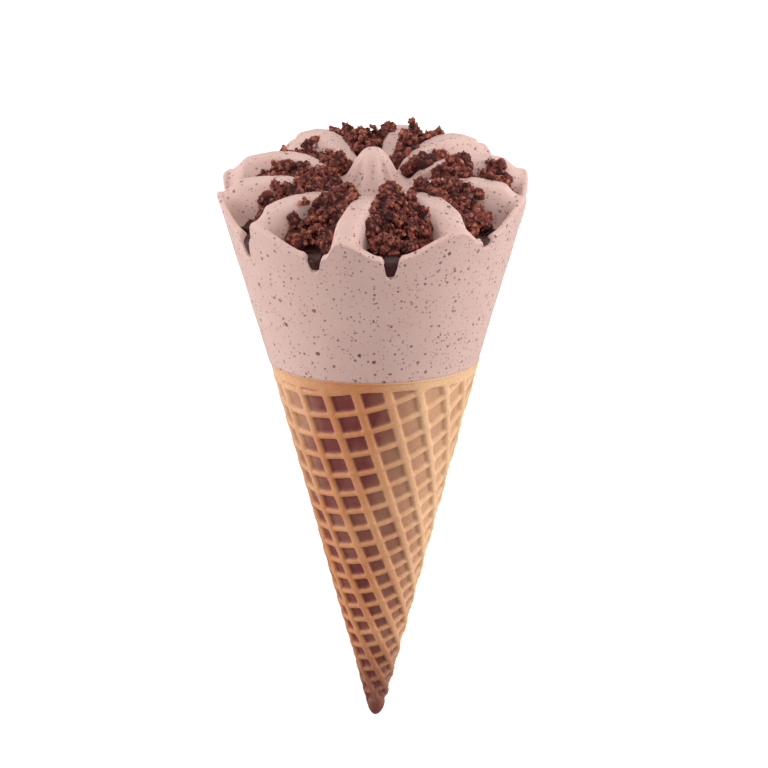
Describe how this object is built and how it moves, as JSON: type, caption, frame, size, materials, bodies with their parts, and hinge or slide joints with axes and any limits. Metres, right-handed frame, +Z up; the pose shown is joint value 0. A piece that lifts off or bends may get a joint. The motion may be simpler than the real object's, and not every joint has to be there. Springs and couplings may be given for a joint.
{
  "type": "ice cream cone",
  "caption": "Rolled wafer cone filled with speckled pink-brown ice cream in a petal-shaped swirl, with brownie pieces and dark sauce between the petals, lying on its side.",
  "frame": {"origin": "bottom centre of the bounding box of the lying cone, on the surface it rests on", "axes": "+Z up away from the surface it rests on, +Y along the cone from its tip to its ice cream top, +X to the right seen from above with the top away from the viewer; the shown side faces up"},
  "size_m": [0.0666, 0.1296, 0.0612],
  "materials": {
    "wafer": "baked wafer with a pressed grid, matt with a faint sheen",
    "ice_cream": "smooth frozen ice cream with small dark specks, satin",
    "chocolate_sauce": "wet gloss",
    "brownie": "crumbly, matt"
  },
  "bodies": {
    "root": {"wafer_cone": "wafer", "ice_cream": "ice_cream", "sauce_front": "chocolate_sauce", "sauce_front_right": "chocolate_sauce", "sauce_right": "chocolate_sauce", "sauce_right_back": "chocolate_sauce", "sauce_back_right": "chocolate_sauce", "sauce_back": "chocolate_sauce", "sauce_back_left": "chocolate_sauce", "sauce_left_back": "chocolate_sauce", "sauce_left": "chocolate_sauce", "sauce_front_left": "chocolate_sauce", "brownie_front": "brownie", "brownie_front_right": "brownie", "brownie_right_inner": "brownie", "brownie_right_outer": "brownie", "brownie_right_back": "brownie", "brownie_back_right": "brownie", "brownie_back": "brownie", "brownie_back_left_inner": "brownie", "brownie_back_left_outer": "brownie", "brownie_left_back": "brownie", "brownie_left": "brownie", "brownie_front_left": "brownie"}
  },
  "joints": []
}
